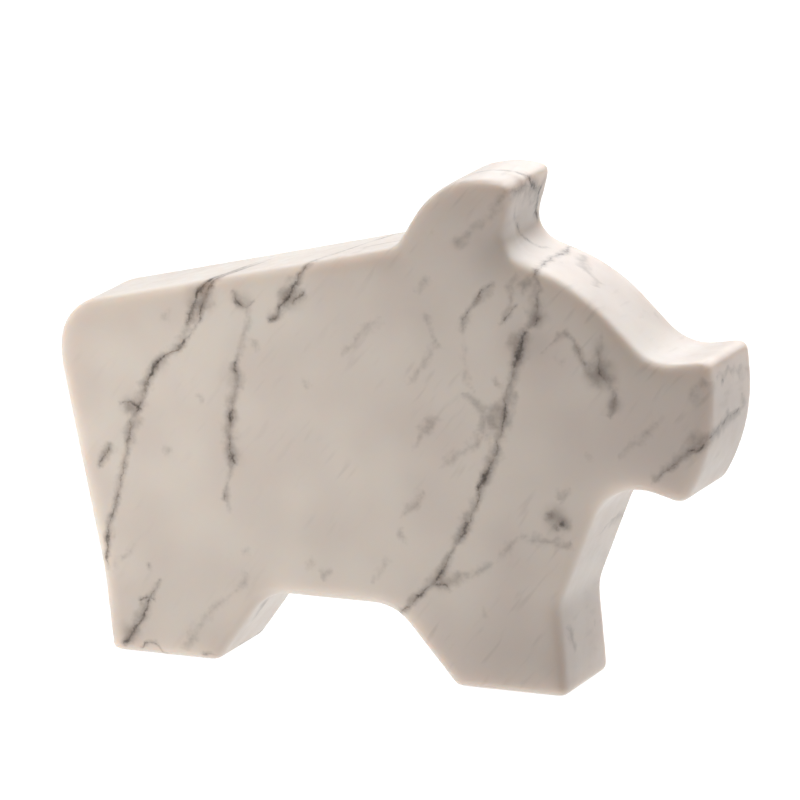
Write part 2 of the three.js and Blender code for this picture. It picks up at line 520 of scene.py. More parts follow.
DARK_VEINS = {
    "rump": {"lean": 0.37, "course": [
        (-38.5, 86.5, 0.1), (-39.5, 83.0, 0.3), (-40.0, 80.5, 0.05), (-40.5, 79.0, 0.3),
        (-41.5, 75.5, 0.0), (-43.0, 73.0, -0.1), (-45.0, 70.5, 0.15), (-46.5, 68.5, 0.3),
        (-49.0, 67.5, 0.3), (-51.0, 65.5, 0.6), (-52.5, 63.0, 0.55), (-53.5, 61.0, 0.15),
        (-54.5, 57.5, -0.1), (-55.5, 55.5, 0.5), (-57.0, 53.0, -0.05), (-58.0, 48.5, 0.2),
        (-58.5, 44.5, -0.05), (-60.0, 39.0, 0.05), (-61.0, 34.5, 0.1), (-62.0, 30.5, 0.1),
        (-63.0, 28.0, 0.1), (-63.5, 25.5, 0.5), (-63.5, 23.0, 0.1), (-64.0, 20.5, 0.45),
        (-63.5, 19.0, 0.0),
    ]},
    "rump_strand": {"lean": 0.3, "course": [
        (-39.5, 86.0, 0.3), (-41.0, 83.0, 0.5), (-42.5, 80.0, 0.5), (-43.5, 77.0, 0.35),
        (-44.0, 74.5, 0.1),
    ]},
    "rump_spur": {"lean": 0.2, "course": [
        (-55.5, 55.0, 0.4), (-57.5, 56.0, 0.2), (-59.5, 56.0, -0.1),
    ]},
    "rump_dash": {"lean": 0.1, "course": [
        (-62.5, 46.5, 0.0), (-63.5, 44.0, 0.3), (-65.0, 41.5, 0.05),
    ]},
    "flank_top": {"lean": 0.3, "course": [
        (-33.5, 82.5, -0.4), (-32.5, 80.5, 0.35), (-31.0, 79.5, -0.2), (-28.5, 81.0, -0.3),
    ]},
    "flank": {"lean": 0.3, "course": [
        (-32.5, 68.5, -0.3), (-33.0, 66.5, 0.5), (-32.5, 63.5, -0.2), (-33.5, 58.5, -0.25),
        (-34.0, 55.5, 0.5), (-34.5, 51.0, -0.2), (-34.5, 48.0, 0.2), (-33.5, 46.0, 0.4),
        (-33.5, 44.5, 0.0), (-34.5, 41.5, -0.6), (-35.5, 37.0, 0.1), (-35.0, 35.5, -0.4),
    ]},
    "back": {"lean": 0.39, "course": [
        (-16.0, 91.5, 0.1), (-17.5, 89.0, 0.15), (-18.5, 87.0, 0.2), (-19.5, 84.5, 0.15),
        (-20.5, 82.5, 0.5), (-22.0, 80.5, 0.15), (-23.5, 78.5, 0.15), (-24.5, 77.5, 0.35),
    ]},
    "back_side": {"lean": 0.3, "course": [
        (-17.0, 84.0, 0.0), (-18.0, 83.0, 0.35), (-19.5, 81.5, 0.0),
    ]},
    "shoulder_thread": {"lean": 0.2, "course": [
        (26.0, 89.0, -0.1), (23.5, 87.0, 0.05), (22.0, 84.5, -0.1), (20.0, 82.0, 0.05),
        (19.5, 79.5, -0.1),
    ]},
    "shoulder_dash": {"lean": 0.2, "course": [
        (31.5, 85.0, 0.0), (29.5, 82.5, 0.05), (28.0, 80.5, -0.1),
    ]},
    "crown": {"lean": -0.1, "course": [
        (35.2, 94.5, 0.25), (35.4, 92.5, 0.2), (35.6, 91.0, 0.05), (36.5, 88.5, -0.2),
        (36.0, 84.5, -0.1), (36.5, 82.5, 0.2), (35.0, 81.0, -0.1), (33.5, 80.0, 0.0),
    ]},
    "chest": {"lean": -0.05, "course": [
        (33.5, 80.0, 0.1), (33.0, 77.5, 0.5), (32.5, 75.5, 0.75), (31.5, 73.0, 0.45),
        (31.0, 71.0, 0.15), (30.5, 69.0, -0.15), (29.5, 66.0, -0.15), (29.0, 64.0, 0.1),
        (29.0, 62.0, 0.7), (28.5, 58.5, 0.15), (27.5, 55.0, -0.05), (27.0, 52.5, -0.05),
        (25.5, 49.5, 0.1), (24.5, 47.5, 0.6), (23.5, 45.0, 0.4), (23.0, 42.0, 0.0),
        (22.0, 39.5, -0.05), (20.5, 36.5, 0.3), (19.5, 34.0, 0.3), (18.0, 31.5, -0.05),
        (16.5, 29.0, 0.15), (15.0, 26.0, 0.3), (13.5, 23.0, 0.35), (11.5, 21.5, 0.2),
        (9.5, 19.5, 0.3), (7.5, 17.5, 0.1), (5.0, 15.5, 0.15), (3.5, 14.0, 0.1),
    ]},
    "chest_knot": {"lean": 0.1, "course": [
        (12.5, 22.5, 0.1), (13.5, 22.5, 0.35), (15.5, 22.5, 0.3), (16.5, 22.0, 0.0),
    ]},
    "snout": {"lean": -0.15, "course": [
        (62.5, 49.5, -0.1), (64.5, 51.5, -0.05), (68.0, 54.5, 0.0), (71.0, 57.0, 0.2),
        (73.0, 58.0, 0.4), (74.0, 59.5, 0.15), (76.0, 61.5, 0.05), (78.5, 62.0, 0.15),
    ]},
    "cheek": {"lean": 0.1, "course": [
        (42.5, 80.0, -0.5), (44.0, 78.5, -0.25), (45.5, 76.0, -0.15), (47.0, 73.5, -0.3),
    ]},
    "jowl_thread": {"lean": 0.1, "course": [
        (50.0, 76.5, -0.5), (50.0, 73.5, 0.1), (50.5, 72.0, 0.3), (51.5, 71.0, -0.1),
    ]},
    "jowl": {"lean": 0.1, "course": [
        (54.0, 67.5, -0.4), (53.5, 66.0, 0.1), (53.5, 64.5, -0.1), (53.0, 63.0, 0.1),
    ]},
    "hind_foot": {"lean": 0.2, "course": [
        (-51.0, 17.0, -0.2), (-53.0, 13.5, 0.1), (-54.5, 9.5, 0.1), (-56.5, 6.0, 0.2),
        (-58.5, 3.0, 0.4), (-59.5, 2.0, 0.2),
    ]},
    "hind_bracket": {"lean": 0.1, "course": [
        (-55.5, 12.5, 0.05), (-54.0, 13.0, 0.1), (-52.5, 13.0, 0.1),
    ]},
    "hind_sole": {"lean": 0.1, "course": [
        (-55.5, 1.5, 0.1), (-54.0, 3.0, 0.25), (-52.5, 3.0, 0.05), (-50.5, 0.5, 0.2),
    ]},
    "hind_mark": {"lean": 0.1, "course": [
        (-41.0, 1.5, 0.0), (-40.0, 1.5, 0.15), (-39.0, 1.5, 0.0),
    ]},
}

SOFT_VEINS = {
    "rump_grey": {"lean": 0.37, "course": [
        (-38.0, 87.0, 0.0), (-39.5, 84.0, 0.35), (-40.5, 79.0, 0.4), (-43.5, 74.5, 0.1),
        (-47.0, 69.0, 0.15), (-51.5, 65.0, 0.4), (-53.5, 61.0, 0.2), (-56.0, 55.0, 0.3),
        (-58.0, 48.0, 0.15), (-60.0, 39.0, 0.0), (-63.5, 25.0, 0.15), (-64.0, 18.0, 0.0),
    ]},
    "spur_grey": {"lean": 0.2, "course": [
        (-55.5, 55.0, 0.3), (-58.0, 55.0, 0.35), (-60.0, 55.5, -0.2),
    ]},
    "rump_dash_shade": {"lean": 0.1, "course": [
        (-62.0, 47.0, 0.05), (-63.5, 44.0, 0.3), (-65.0, 41.0, 0.05),
    ]},
    "flank_top_grey": {"lean": 0.3, "course": [
        (-33.5, 83.0, 0.05), (-32.5, 80.5, 0.25), (-30.5, 79.5, 0.1), (-28.0, 81.0, 0.0),
    ]},
    "flank_fade": {"lean": 0.3, "course": [
        (-30.5, 80.0, 0.05), (-29.5, 77.0, 0.1), (-31.0, 72.5, 0.0), (-33.0, 67.0, 0.2),
        (-32.5, 63.5, 0.35), (-33.5, 59.0, 0.2), (-34.0, 55.5, 0.35), (-34.5, 50.0, 0.25),
        (-34.0, 46.0, 0.25), (-34.5, 41.0, -0.1), (-35.5, 37.0, 0.2), (-34.0, 33.0, -0.1),
    ]},
    "flank_dash": {"lean": 0.2, "course": [
        (-28.0, 72.5, -0.1), (-28.5, 71.0, 0.15), (-29.0, 70.0, -0.1),
    ]},
    "back_grey": {"lean": 0.39, "course": [
        (-17.0, 90.0, 0.0), (-18.5, 87.0, 0.1), (-20.0, 83.0, 0.4), (-22.5, 80.0, 0.15),
        (-24.0, 77.5, 0.25), (-25.0, 76.0, -0.1),
    ]},
    "loin_streak": {"lean": 0.2, "course": [
        (-7.0, 73.5, -0.1), (-8.0, 72.0, 0.05), (-9.0, 70.5, -0.1),
    ]},
    "hind_grey": {"lean": 0.2, "course": [
        (-51.0, 17.0, -0.1), (-53.5, 12.5, 0.15), (-57.0, 5.5, 0.25), (-59.5, 1.5, 0.2),
    ]},
    "hock_streak": {"lean": 0.2, "course": [
        (-56.0, 25.0, -0.2), (-59.5, 21.5, 0.02), (-63.0, 17.5, -0.2),
    ]},
    "hind_streak": {"lean": 0.2, "course": [
        (-30.5, 21.0, 0.0), (-31.0, 18.5, 0.15), (-34.0, 16.0, -0.1), (-37.0, 13.5, 0.1),
        (-39.5, 10.5, 0.0), (-42.0, 8.0, 0.05), (-43.5, 5.0, 0.15), (-45.5, 2.0, 0.0),
    ]},
    "belly_dash": {"lean": 0.1, "course": [
        (-11.0, 23.5, 0.1), (-13.0, 21.5, 0.2),
    ]},
    "neck_streak": {"lean": 0.2, "course": [
        (12.0, 89.5, 0.0), (10.5, 88.0, 0.12), (8.5, 86.0, 0.0),
    ]},
    "withers_streak": {"lean": 0.2, "course": [
        (11.5, 81.5, 0.0), (11.5, 80.0, 0.12), (12.0, 78.0, 0.0), (13.5, 75.5, 0.02),
        (10.0, 70.0, 0.05), (7.0, 66.0, 0.0),
    ]},
    "back_streak": {"lean": 0.2, "course": [
        (1.0, 80.0, -0.1), (-2.0, 77.5, 0.12), (-4.0, 75.5, 0.02), (-8.5, 70.5, -0.1),
    ]},
    "shoulder_smudge": {"lean": 0.2, "course": [
        (26.0, 89.0, -0.1), (24.0, 86.0, 0.2), (21.5, 83.5, 0.05), (19.5, 80.5, 0.1),
        (19.5, 76.0, -0.1), (20.0, 69.0, 0.0), (21.5, 65.5, 0.0),
    ]},
    "dash_smudge": {"lean": 0.2, "course": [
        (31.0, 91.5, 0.0), (30.0, 89.0, 0.1), (30.5, 85.0, 0.1), (28.5, 81.0, -0.1),
    ]},
    "crown_arm": {"lean": 0.1, "course": [
        (35.5, 91.5, 0.1), (32.5, 89.0, 0.15), (30.5, 89.0, -0.1),
    ]},
    "crown_grey": {"lean": -0.1, "course": [
        (35.0, 94.0, 0.0), (36.0, 88.5, 0.15), (36.0, 83.0, 0.4), (34.5, 80.5, 0.25),
    ]},
    "chest_arm": {"lean": 0.1, "course": [
        (28.5, 76.5, -0.1), (30.5, 77.0, 0.2), (32.5, 76.0, 0.25),
    ]},
    "chest_grey": {"lean": 0.0, "course": [
        (33.5, 80.0, 0.25), (32.0, 75.0, 0.45), (30.5, 69.0, 0.25), (29.0, 62.0, 0.4),
        (27.5, 54.0, 0.2), (25.0, 48.5, 0.35), (23.0, 42.5, 0.1), (20.0, 36.0, 0.35),
        (16.5, 29.0, 0.1), (14.0, 24.0, 0.35), (9.0, 19.5, 0.15), (4.0, 14.5, 0.1),
    ]},
    "chest_second": {"lean": 0.0, "course": [
        (32.5, 67.0, -0.1), (31.5, 65.5, 0.1), (30.5, 64.0, -0.1),
    ]},
    "loop": {"lean": 0.0, "course": [
        (18.0, 64.0, -0.2), (20.0, 65.0, 0.05), (22.5, 63.0, 0.2), (24.0, 61.0, 0.3),
        (24.0, 58.0, 0.25), (25.5, 55.0, 0.1), (26.0, 53.5, -0.2),
    ]},
    "loop_arm": {"lean": 0.0, "course": [
        (23.5, 61.5, 0.1), (26.0, 62.0, 0.2), (29.0, 62.0, 0.25),
    ]},
    "chest_patch": {"lean": 0.0, "course": [
        (14.5, 59.5, -0.1), (12.0, 57.5, 0.25), (10.0, 55.0, 0.1), (8.0, 51.5, -0.1),
    ]},
    "middle_streak": {"lean": 0.1, "course": [
        (23.0, 57.0, 0.0), (22.5, 54.5, 0.15), (19.0, 52.0, 0.1), (16.0, 50.0, 0.15),
        (14.0, 48.0, -0.1),
    ]},
    "elbow_streak": {"lean": 0.2, "course": [
        (10.5, 43.0, 0.0), (8.5, 39.5, 0.2), (6.5, 38.0, 0.1), (4.5, 36.0, -0.1),
    ]},
    "elbow_dash": {"lean": 0.0, "course": [
        (5.5, 34.5, -0.1), (5.5, 32.5, 0.15), (5.5, 30.5, -0.1),
    ]},
    "belly_streak": {"lean": 0.2, "course": [
        (3.0, 28.0, -0.1), (0.5, 24.5, 0.02), (-1.5, 21.0, -0.1),
    ]},
    "brisket_chain": {"lean": 0.1, "course": [
        (15.0, 22.5, 0.1), (18.5, 24.5, 0.3), (21.5, 25.5, 0.05), (25.0, 27.5, 0.25),
        (27.0, 29.0, -0.3), (29.5, 31.5, 0.25), (32.0, 34.5, 0.0), (36.0, 35.0, 0.2),
        (40.5, 34.0, 0.05), (44.0, 34.5, 0.2),
    ]},
    "brisket_tail": {"lean": 0.1, "course": [
        (44.0, 47.0, -0.1), (42.5, 45.5, 0.1), (41.5, 43.5, 0.2),
    ]},
    "cheek_arc": {"lean": 0.1, "course": [
        (37.0, 75.0, -0.1), (38.5, 76.5, 0.05), (40.5, 78.5, 0.2), (42.5, 80.0, 0.2),
        (44.0, 78.5, 0.15), (45.5, 76.0, 0.2), (48.0, 72.5, 0.15), (50.5, 70.5, 0.0),
    ]},
    "jowl_smear": {"lean": 0.1, "course": [
        (50.0, 81.5, -0.3), (50.0, 79.0, 0.05), (50.0, 76.0, 0.15), (50.5, 72.5, 0.4),
        (52.5, 70.0, 0.2), (54.0, 67.0, 0.3), (53.0, 63.0, 0.2),
    ]},
    "jowl_streak": {"lean": 0.1, "course": [
        (64.0, 62.5, -0.1), (61.5, 60.5, 0.15), (58.0, 57.0, 0.1), (54.5, 54.5, -0.1),
    ]},
    "snout_streak": {"lean": 0.1, "course": [
        (74.0, 72.5, 0.05), (72.5, 71.0, 0.2), (69.5, 68.0, -0.1),
    ]},
    "snout_grey": {"lean": -0.15, "course": [
        (62.0, 49.5, 0.05), (64.5, 52.0, 0.15), (68.0, 54.5, 0.2), (71.0, 57.5, 0.35),
        (74.0, 59.5, 0.3), (78.0, 62.0, 0.4),
    ]},
    "ear_line": {"lean": 0.2, "course": [
        (28.0, 108.5, 0.2), (26.5, 106.5, 0.15), (25.0, 104.0, 0.05), (21.5, 100.5, 0.05),
        (18.5, 97.5, 0.15), (17.5, 96.0, -0.1),
    ]},
}

print("near side:", len(DARK_VEINS), "dark veins and", len(SOFT_VEINS), "grey ones")

# %% Veins that show on the ear, the brow and the front faces
TOP_VEINS = {
    "ear_crest": {"into": (0.8, 0, 0.6), "course": [
        (17.9, -1.7, 110.3, -0.1), (20.6, -1.0, 110.8, -0.05), (22.5, -1.6, 110.9, 0.0),
        (25.0, -1.2, 110.8, 0.0), (27.2, -1.8, 110.5, 0.15), (28.2, -0.4, 109.3, 0.45),
        (28.0, 0.8, 107.8, 0.4), (27.7, 2.8, 106.3, 0.5), (27.5, 5.5, 105.4, 0.1),
        (27.4, 7.4, 104.2, 0.1),
    ]},
    "ear_drop": {"into": (0.8, 0, 0.6), "course": [
        (27.5, 6.7, 105.0, 0.3), (27.4, 7.4, 104.2, 0.65), (27.1, 7.6, 102.8, 0.55),
        (26.9, 8.0, 101.2, 0.45), (26.8, 7.8, 100.3, 0.65), (26.9, 9.6, 98.8, 0.2),
    ]},
    "ear_cross": {"into": (1, 0, 1), "course": [
        (28.0, -9.8, 107.9, -0.4), (28.0, -8.1, 107.6, 0.05), (28.0, -4.1, 107.3, 0.1),
        (28.0, 0.1, 106.7, 0.0), (28.0, 2.8, 106.2, 0.2),
    ]},
    "brow_line": {"into": (0.7, 0, 0.7), "course": [
        (27.3, -6.3, 103.6, -0.3), (26.9, -5.1, 101.5, -0.15), (26.9, -2.7, 99.3, -0.1),
        (27.5, -1.0, 97.3, -0.15), (28.5, 0.9, 95.8, -0.15), (30.1, 2.0, 94.5, -0.1),
        (31.8, 4.0, 93.8, -0.2),
    ]},
}
TOP_SMEARS = {
    "crest_smear": {"into": (0.8, 0, 0.6), "course": [
        (16.3, -11.0, 109.4, -0.1), (17.0, -6.0, 110.0, 0.0), (17.9, -1.7, 110.3, 0.1),
        (22.5, -1.5, 110.9, 0.1), (27.2, -1.8, 110.5, 0.15), (28.0, 0.8, 107.8, 0.3),
        (27.4, 7.4, 104.2, 0.15),
    ]},
    "brow_smear": {"into": (0.3, 0, 0.95), "course": [
        (37.5, 9.0, 91.9, 0.2), (39.2, 5.3, 91.2, 0.35), (40.7, 2.1, 90.6, 0.35),
        (42.6, 0.9, 89.5, 0.1), (44.6, 0.3, 88.4, 0.3), (45.0, -2.7, 88.1, 0.15),
    ]},
    "foot_smear": {"into": (1, 0, 0), "course": [
        (41.5, -9.5, 15.0, 0.1), (41.5, -6.5, 12.5, 0.4), (42.0, -5.5, 9.5, 0.2),
        (42.0, -5.5, 8.0, -0.1),
    ]},
    "nose_smear": {"into": (1, 0, 0), "course": [
        (75.0, 6.0, 65.5, 0.1), (75.0, 8.0, 62.5, 0.2),
    ]},
}

print("elsewhere:", len(TOP_VEINS), "dark veins and", len(TOP_SMEARS), "grey ones")

# %% The spots, each a ball with a place and a radius
DARK_SPOTS = {
    "brisket_core": ((42.0, NEAR_SIDE, 38.5), 0.7),
    "brisket_bead": ((39.0, NEAR_SIDE, 40.0), 0.35),
    "brisket_side": ((40.8, NEAR_SIDE, 37.4), 0.3),
    "rump_bead": ((-58.0, NEAR_SIDE, 48.5), 0.3),
    "shoulder_bead": ((-33.0, NEAR_SIDE, 80.5), 0.5),
    "fore_foot_dot": ((41.5, 6.0, 12.0), 0.3),
    "nose_dot": ((74.5, -5.5, 71.0), 0.3),
    "hind_dot": ((-53.5, NEAR_SIDE, 20.5), 0.1),
}
SOFT_SPOTS = {
    "brisket_blot": ((40.0, NEAR_SIDE, 39.5), 1.6),
    "brisket_edge": ((42.5, NEAR_SIDE, 38.5), 1.2),
    "jowl_blot": ((50.0, NEAR_SIDE, 70.5), 1.2),
    "chest_fleck": ((27.0, NEAR_SIDE, 68.0), 0.4),
    "flank_round": ((-49.0, NEAR_SIDE, 46.0), 0.5),
    "flank_small": ((-41.0, NEAR_SIDE, 58.0), 0.4),
    "rump_patch": ((-49.5, NEAR_SIDE, 76.0), 0.6),
    "belly_dot": ((-15.5, NEAR_SIDE, 24.5), 0.5),
    "groin_dot": ((-30.5, NEAR_SIDE, 25.5), 0.5),
    "side_patch": ((-16.0, NEAR_SIDE, 64.0), 0.4),
    "shin_spot": ((24.5, NEAR_SIDE, 17.0), 0.3),
    "loop_grey": ((26.0, NEAR_SIDE, 59.5), 1.6),
    "ear_spot": ((18.5, NEAR_SIDE, 97.5), 0.2),
    "ear_fleck": ((12.5, NEAR_SIDE, 99.0), 0.2),
    "cheek_fleck": ((41.0, NEAR_SIDE, 74.0), 0.3),
    "jaw_fleck": ((48.0, NEAR_SIDE, 54.0), 0.3),
    "snout_spot": ((71.5, NEAR_SIDE, 60.0), 0.7),
    "snout_shade": ((72.0, NEAR_SIDE, 68.5), 0.6),
    "nose_shade": ((75.0, -3.0, 62.5), 0.8),
}

print("spots:", len(DARK_SPOTS), "dark and", len(SOFT_SPOTS), "grey")

# %% Wide soft stains around the strongest places, and two broad faint darkenings, each with a reach and a strength
STAINS = {
    "rump_top": ((-41.0, NEAR_SIDE, 81.0), 5.5, 0.3),
    "rump_knot": ((-51.5, NEAR_SIDE, 65.0), 3.5, 0.25),
    "rump_spur": ((-57.5, NEAR_SIDE, 55.5), 3.0, 0.3),
    "flank_top": ((-31.5, NEAR_SIDE, 80.5), 3.5, 0.25),
    "flank_middle": ((-34.0, NEAR_SIDE, 64.0), 3.5, 0.15),
    "flank_low": ((-33.5, NEAR_SIDE, 46.5), 3.0, 0.25),
    "back": ((-20.0, NEAR_SIDE, 82.5), 4.0, 0.35),
    "back_end": ((-24.0, NEAR_SIDE, 77.5), 2.2, 0.3),
    "crown": ((36.5, NEAR_SIDE, 82.5), 3.2, 0.5),
    "chest_top": ((33.0, NEAR_SIDE, 76.5), 4.5, 0.35),
    "chest_haze": ((35.5, NEAR_SIDE, 77.5), 6.5, 0.14),
    "chest_loop": ((27.5, NEAR_SIDE, 60.5), 4.2, 0.3),
    "chest_bead": ((24.5, NEAR_SIDE, 47.0), 2.5, 0.25),
    "jowl": ((50.5, NEAR_SIDE, 72.0), 4.8, 0.65),
    "jowl_top": ((50.0, NEAR_SIDE, 77.0), 2.6, 0.25),
    "jowl_low": ((53.5, NEAR_SIDE, 65.5), 3.0, 0.4),
    "brisket": ((40.5, NEAR_SIDE, 39.5), 4.5, 0.4),
    "snout": ((72.0, NEAR_SIDE, 59.0), 3.5, 0.25),
    "hind_foot": ((-58.0, NEAR_SIDE, 4.5), 3.5, 0.3),
    "armpit": ((14.5, NEAR_SIDE, 23.5), 4.0, 0.3),
    "ear": ((18.5, NEAR_SIDE, 97.5), 2.5, 0.25),
    # The last two only darken the withers and the front foot, broadly and faintly.
    "withers": ((13.0, NEAR_SIDE, 80.0), 9.0, 0.1),
    "fore_foot": ((33.0, NEAR_SIDE, 9.0), 15.0, 0.1),
}

print("stains:", len(STAINS))

# %% [markdown]
# The grey clouds and the stains are wider than the mesh's faces, so there is no need to work
# them out again for every ray of light. They are worked out once for each point of the mesh
# and kept there as attributes, which the shader reads. The same is done with the place in the
# stone, once it is bent. Only the dark cores are finer than the faces: those are left to the
# shader's nodes, which find the distance to the nearest sheet at every place.

# %% How the stone is bent
BEND_SEED = 7
BEND_GRAIN = 9.0
BEND_REACH = 0.6
DRIFT_GRAIN = 30.0
DRIFT_REACH = 8.0
FRAY_GRAIN = 2.4
FRAY_REACH = 1.9
SLAB = -2 * NEAR_SIDE


def bent_place(place):
    """Straight sheets bend a little, and drift more the nearer they come to the far side."""
    depth = min(max((place.y - NEAR_SIDE) / SLAB, 0.0), 1.0)
    drifted = place + noise.noise_vector(place / DRIFT_GRAIN) * (DRIFT_REACH * depth * depth)
    return drifted + noise.noise_vector(drifted / BEND_GRAIN) * BEND_REACH


def frayed_place(place):
    """A bent place pushed about by a finer noise, which makes the clouds' edges ragged."""
    return place + noise.noise_vector(place / FRAY_GRAIN) * (FRAY_REACH / 2)


noise.seed_set(BEND_SEED)
far_place = Vector((0, -NEAR_SIDE, PIG_MIDDLE[2]))
far_move = (bent_place(far_place) - far_place).length
print("the middle of the far side moves by", round(far_move, 1), "mm")

# %% A vein's sheet
SHADE_SPREAD = 3.5
NO_VEIN = -1.5
END_FADE = 1.5


def near_course(course):
    """A course on the near side, with that side's place put in."""
    return [(x, NEAR_SIDE, z, width) for x, z, width in course]


def sheets_of(side_veins, top_veins):
    """Every sheet as the direction into the stone and its course."""
    sheets = [((vein["lean"], 1, 0), near_course(vein["course"])) for vein in side_veins.values()]
    return sheets + [(vein["into"], vein["course"]) for vein in top_veins.values()]


def sheet_pairs(into, course):
    """The directions along and through a sheet, and its middle and half width on the way."""
    points = [bent_place(Vector(step[:3])) for step in course]
    through = Vector(into).cross(points[-1] - points[0]).normalized()
    along = through.cross(Vector(into)).normalized()
    middles = sorted((along.dot(point), through.dot(point)) for point in points)
    widths = sorted((along.dot(point), step[3]) for point, step in zip(points, course))
    before = (widths[0][0] - END_FADE, NO_VEIN)
    after = (widths[-1][0] + END_FADE, NO_VEIN)
    return along, through, middles, [before, *widths, after]


# %% The place of every mesh point in the bent stone
bent = [bent_place(corner.co / MM) for corner in pig.data.vertices]
bent_places = np.array(bent)
frayed_places = np.array([frayed_place(place) for place in bent])
print("bent", len(bent), "places")

# %% Grey clouds and stains, kept on the mesh
def cloud_gaps(places):
    """How far every place is from the edge of the nearest grey cloud."""
    gaps = [
        np.linalg.norm(places - centre, axis=1) - radius
        for centre, radius in SOFT_SPOTS.values()
    ]
    for into, course in sheets_of(SOFT_VEINS, TOP_SMEARS):
        along, through, middles, widths = sheet_pairs(into, course)
        way = places @ along
        middle = np.interp(way, *zip(*middles))
        width = np.interp(way, *zip(*widths))
        gaps.append(np.abs(places @ through - middle) - width * SHADE_SPREAD)
    return np.min(gaps, axis=0)


def stain_shares(places):
    """How strong the strongest stain is at every place."""
    shares = []
    for centre, reach, strength in STAINS.values():
        away = np.linalg.norm(places - centre, axis=1)
        shares.append(eased(np.clip(1 - away / reach, 0, 1)) * strength)
    return np.max(shares, axis=0)


def keep_on_mesh(piece, name, values, kind="FLOAT"):
    """Stores one number, or one vector, for every point of a piece."""
    attribute = piece.data.attributes.new(name, kind, "POINT")
    field = "vector" if kind == "FLOAT_VECTOR" else "value"
    attribute.data.foreach_set(field, np.asarray(values, dtype=np.float32).ravel())


keep_on_mesh(pig, "bent_place", bent_places, "FLOAT_VECTOR")
keep_on_mesh(pig, "cloud_gap", cloud_gaps(frayed_places))
keep_on_mesh(pig, "stain", stain_shares(frayed_places))
print("kept on the mesh for", len(bent), "points")

# %% The dark cores, found by the shader
NOISE_MIDDLE = (0.5, 0.5, 0.5)


def kept_value(tree, name, result="Fac"):
    """What is kept on the mesh under this name."""
    return add_node(tree, "ShaderNodeAttribute", attribute_name=name).outputs[result]


def stone_place(tree):
    """The place in millimetres, straight."""
    seen_from = add_node(tree, "ShaderNodeTexCoord")
    return scaled(tree, seen_from.outputs["Object"], 1 / MM)


def ragged_place(tree, place):
    """The place pushed about by a fine noise, so that smooth sheets become ragged."""
    lumps = noise_node(tree, place, FRAY_GRAIN, detail=2.0).outputs["Color"]
    push = vector_node(tree, "SUBTRACT", lumps, NOISE_MIDDLE)
    return vector_node(tree, "ADD", place, scaled(tree, push, FRAY_REACH))


def sheet_gap(tree, place, into, course):
    """The distance from a dark vein's edge, below zero inside it."""
    along, through, middles, widths = sheet_pairs(into, course)
    way = vector_node(tree, "DOT_PRODUCT", place, along, result="Value")
    side = vector_node(tree, "DOT_PRODUCT", place, through, result="Value")
    off_middle = math_node(tree, "SUBTRACT", side, curve_node(tree, way, middles))
    gap = math_node(tree, "ABSOLUTE", off_middle)
    return math_node(tree, "SUBTRACT", gap, curve_node(tree, way, widths))


def spot_gap(tree, place, centre, radius):
    """The distance from a ball's skin, below zero inside it."""
    away = vector_node(tree, "DISTANCE", place, centre, result="Value")
    return math_node(tree, "SUBTRACT", away, radius)


def core_gap(tree, place):
    """The smallest distance to any dark vein or spot."""
    gaps = [sheet_gap(tree, place, *sheet) for sheet in sheets_of(DARK_VEINS, TOP_VEINS)]
    gaps += [spot_gap(tree, place, *spot) for spot in DARK_SPOTS.values()]
    smallest = gaps[0]
    for gap in gaps[1:]:
        smallest = math_node(tree, "MINIMUM", smallest, gap)
    return smallest


# %% [markdown]
# ## The stone between the veins
# Between its veins the marble isn't one white. The same pressure that opened the cracks drew
# faint grey streaks out in one direction, and minerals tint it in slow clouds. Towards the head
# the colour is greyer too: that is painted shade, for the light that fades from rump to cheek.
# Painting the streaks and clouds would take long and would end at every edge. A noise that is
# stretched along the grain of the stone, and a very slow one for the tint, run through the whole
# block.

# %% Faint streaks that all lie the same way
STREAK_LEAN = math.radians(-38)
STREAK_LONG = 8.0
STREAK_WIDE = 1.6
STREAK_START = 0.56
STREAK_FULL = 0.78
PATCH_GRAIN = 20.0
PATCH_START = 0.42
PATCH_FULL = 0.62
BEHIND_SHARE = 0.35
BEHIND_TO = -30.0
IN_FRONT_FROM = 5.0


def streaks(tree, place):
    """A stretched noise with its highest crests kept, in patches, more of them in front."""
    turn = add_node(tree, "ShaderNodeVectorRotate", rotation_type="Y_AXIS")
    feed(tree, turn.inputs["Vector"], place)
    turn.inputs["Angle"].default_value = STREAK_LEAN
    squeeze = (1.0, STREAK_WIDE / STREAK_LONG, STREAK_WIDE / STREAK_LONG)
    stretched = vector_node(tree, "MULTIPLY", turn.outputs["Vector"], squeeze)
    crest = noise_node(tree, stretched, STREAK_WIDE, detail=1.0).outputs["Fac"]
    patch = noise_node(tree, place, PATCH_GRAIN, detail=0.0).outputs["Fac"]
    along = vector_node(tree, "DOT_PRODUCT", place, (1, 0, 0), result="Value")
    in_patch = ramp(tree, patch, PATCH_START, PATCH_FULL)
    in_front = ramp(tree, along, BEHIND_TO, IN_FRONT_FROM, BEHIND_SHARE, 1.0)
    where = math_node(tree, "MULTIPLY", in_patch, in_front)
    return math_node(tree, "MULTIPLY", where, ramp(tree, crest, STREAK_START, STREAK_FULL))


print("streaks lie at", round(math.degrees(STREAK_LEAN)), "degrees")

# %% The stone's own colour
PURE_STONE = (0.665, 0.60, 0.535, 1)
GREY_STONE_AND_SHADE = (0.55, 0.468, 0.418, 1)
# Painted shade: the stone's colour is greyed from the rump towards the head, where the light
# fades.
HEAD_SHADE_FROM = -30.0
HEAD_SHADE_TO = 75.0
HEAD_SHADE = 0.35
SLOW_GRAIN = 17.0
SLOW_GREY = 0.4
NOISE_LOW = 0.3
NOISE_HIGH = 0.7


